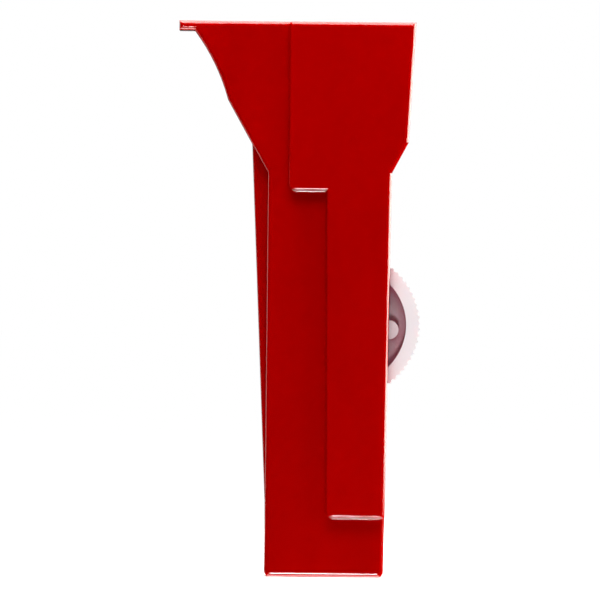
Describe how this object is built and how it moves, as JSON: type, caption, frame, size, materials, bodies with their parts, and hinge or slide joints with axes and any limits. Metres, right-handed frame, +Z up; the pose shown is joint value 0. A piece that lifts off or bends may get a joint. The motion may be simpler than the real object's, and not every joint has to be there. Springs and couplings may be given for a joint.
{
  "type": "tape gun dispenser",
  "caption": "Hand-held gun for adhesive transfer tape: slim closed housing with a nose lip, long squeeze trigger, geared liner take-up, white thumbwheel and hinged door.",
  "frame": {"origin": "centre of the grip's flat foot", "axes": "+Z up the grip to the head, -X towards the nose and trigger, -Y the closed side with the raised cover"},
  "size_m": [0.0875, 0.0317, 0.1994],
  "materials": {
    "red_housing": "gloss",
    "red_trigger": "gloss",
    "white_nylon": "satin",
    "grey_plastic": "satin",
    "black_plastic": "satin",
    "steel": "satin",
    "spring_steel": "satin",
    "screw_steel": "satin",
    "black_rubber": "matt",
    "felt": "matt"
  },
  "bodies": {
    "housing": {"brake_pivot": "steel", "brake_spring": "spring_steel", "case_screws": "screw_steel", "chassis_plate": "steel", "chassis_screws": "screw_steel", "clutch_spring": "spring_steel", "door_hinge_pin": "steel", "exit_roller_pin": "steel", "far_shell": "red_housing", "guide_post": "steel", "idler_post": "steel", "near_shell": "red_housing", "peel_blade": "steel", "return_roller_pin": "steel", "roller_clips": "spring_steel", "supply_cap": "steel", "supply_drag_spring": "spring_steel", "supply_post": "steel", "takeup_cap": "steel", "takeup_post": "steel", "thumbwheel_axle": "steel", "trigger_pin": "steel", "trigger_spring": "spring_steel"},
    "supply_reel": {"supply_gear": "white_nylon", "supply_hub": "grey_plastic"},
    "idler": {"idler_gear": "white_nylon"},
    "thumbwheel": {"thumbwheel": "white_nylon"},
    "takeup_drive": {"takeup_gear": "white_nylon", "clutch_plate": "grey_plastic", "clutch_felt": "felt"},
    "takeup_reel": {"takeup_spool": "grey_plastic"},
    "trigger": {"trigger": "red_trigger"},
    "brake": {"brake_lever": "steel", "brake_shoe": "black_rubber"},
    "exit_roller": {"exit_roller": "black_plastic"},
    "return_roller": {"return_roller": "black_plastic"},
    "door": {"door": "red_housing"}
  },
  "joints": [
    {"name": "supply_spin", "type": "hinge", "parent": "housing", "child": "supply_reel", "pos_m": [-0.0006, 0, 0.1691], "axis": [0, 1, 0], "continuous": true},
    {"name": "idler_spin", "type": "hinge", "parent": "housing", "child": "idler", "pos_m": [0.0026, 0, 0.13134], "axis": [0, 1, 0], "continuous": true},
    {"name": "thumbwheel_spin", "type": "hinge", "parent": "housing", "child": "thumbwheel", "pos_m": [0.0082, 0, 0.09067], "axis": [0, 1, 0], "continuous": true},
    {"name": "takeup_drive_spin", "type": "hinge", "parent": "housing", "child": "takeup_drive", "pos_m": [0.001, 0, 0.0599], "axis": [0, 1, 0], "continuous": true},
    {"name": "takeup_slip", "type": "hinge", "parent": "takeup_drive", "child": "takeup_reel", "pos_m": [0.001, 0, 0.0599], "axis": [0, 1, 0], "continuous": true},
    {"name": "trigger_squeeze", "type": "hinge", "parent": "housing", "child": "trigger", "pos_m": [-0.0159, 0, 0.031], "axis": [0, 1, 0], "range_deg": [0, 2.2], "stiffness_Nm_per_rad": 1.2, "springref_deg": -6.88, "deforming": ["trigger_spring", "brake_spring"]},
    {"name": "brake_release", "type": "hinge", "parent": "housing", "child": "brake", "pos_m": [-0.0186, 0, 0.1595], "axis": [0, -1, 0], "range_deg": [0, 22]},
    {"name": "exit_roller_spin", "type": "hinge", "parent": "housing", "child": "exit_roller", "pos_m": [-0.034, 0, 0.1868], "axis": [0, 1, 0], "continuous": true},
    {"name": "return_roller_spin", "type": "hinge", "parent": "housing", "child": "return_roller", "pos_m": [-0.0308, 0, 0.1778], "axis": [0, 1, 0], "continuous": true},
    {"name": "door_hinge", "type": "hinge", "parent": "housing", "child": "door", "pos_m": [0, 0.013, 0.1945], "axis": [1, 0, 0], "range_deg": [0, 110]}
  ],
  "couplings": [
    {"joint": "idler_spin", "follows": "supply_spin", "ratio": -1.4},
    {"joint": "thumbwheel_spin", "follows": "supply_spin", "ratio": 0.875},
    {"joint": "takeup_drive_spin", "follows": "supply_spin", "ratio": -3.5},
    {"joint": "brake_release", "follows": "trigger_squeeze", "ratio": 10}
  ]
}
